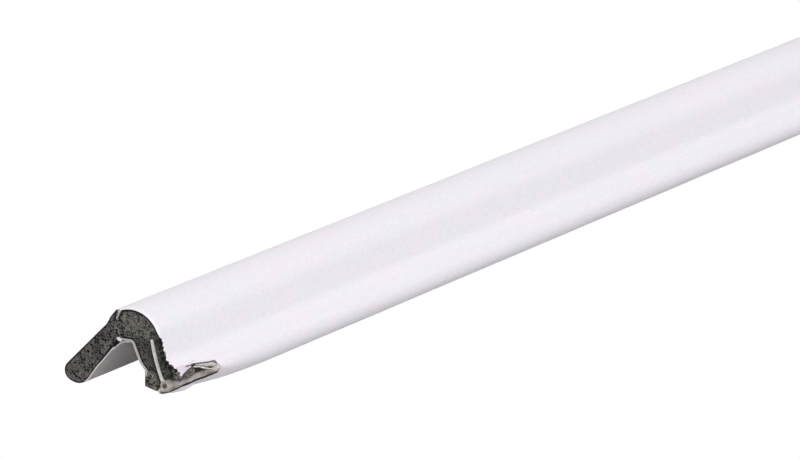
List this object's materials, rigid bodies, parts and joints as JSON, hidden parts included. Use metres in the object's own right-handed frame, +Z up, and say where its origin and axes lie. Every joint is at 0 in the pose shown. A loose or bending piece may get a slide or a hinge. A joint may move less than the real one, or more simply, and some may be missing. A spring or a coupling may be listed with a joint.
{
  "type": "door sweep seal strip",
  "caption": "Foam-filled door seal strip clad in white film, with a rounded bulb, a leg on a rigid carrier and a soft leaf that folds on a film hinge.",
  "frame": {"origin": "centre of the footprint, on the plane that the leaf tip and the toe rest on", "axes": "+X along the strip, away from the snipped end; +Y to the leaf side; +Z up, towards the top of the bulb"},
  "size_m": [0.9144, 0.0235, 0.0141],
  "materials": {
    "bulb_foam": "matte",
    "leaf_foam": "matte",
    "foot_foam": "matte",
    "carrier_plastic": "satin",
    "cord_yarn": "matte",
    "white_film": "satin",
    "inner_film": "satin",
    "hinge_film": "satin",
    "leaf_film": "satin"
  },
  "bodies": {
    "strip_body": {"body_foam": "bulb_foam", "foot_pad": "foot_foam", "carrier": "carrier_plastic", "stretch_cord": "cord_yarn", "outer_skin": "white_film", "inner_skin": "inner_film", "hinge_film": "hinge_film"},
    "leaf": {"leaf_foam": "leaf_foam", "leaf_skin": "leaf_film"}
  },
  "joints": [
    {"name": "leaf_hinge", "type": "hinge", "parent": "strip_body", "child": "leaf", "pos_m": [0, 0.0015, 0.00845], "axis": [-1, 0, 0], "range_deg": [0, 50], "stiffness_Nm_per_rad": 0.08}
  ]
}
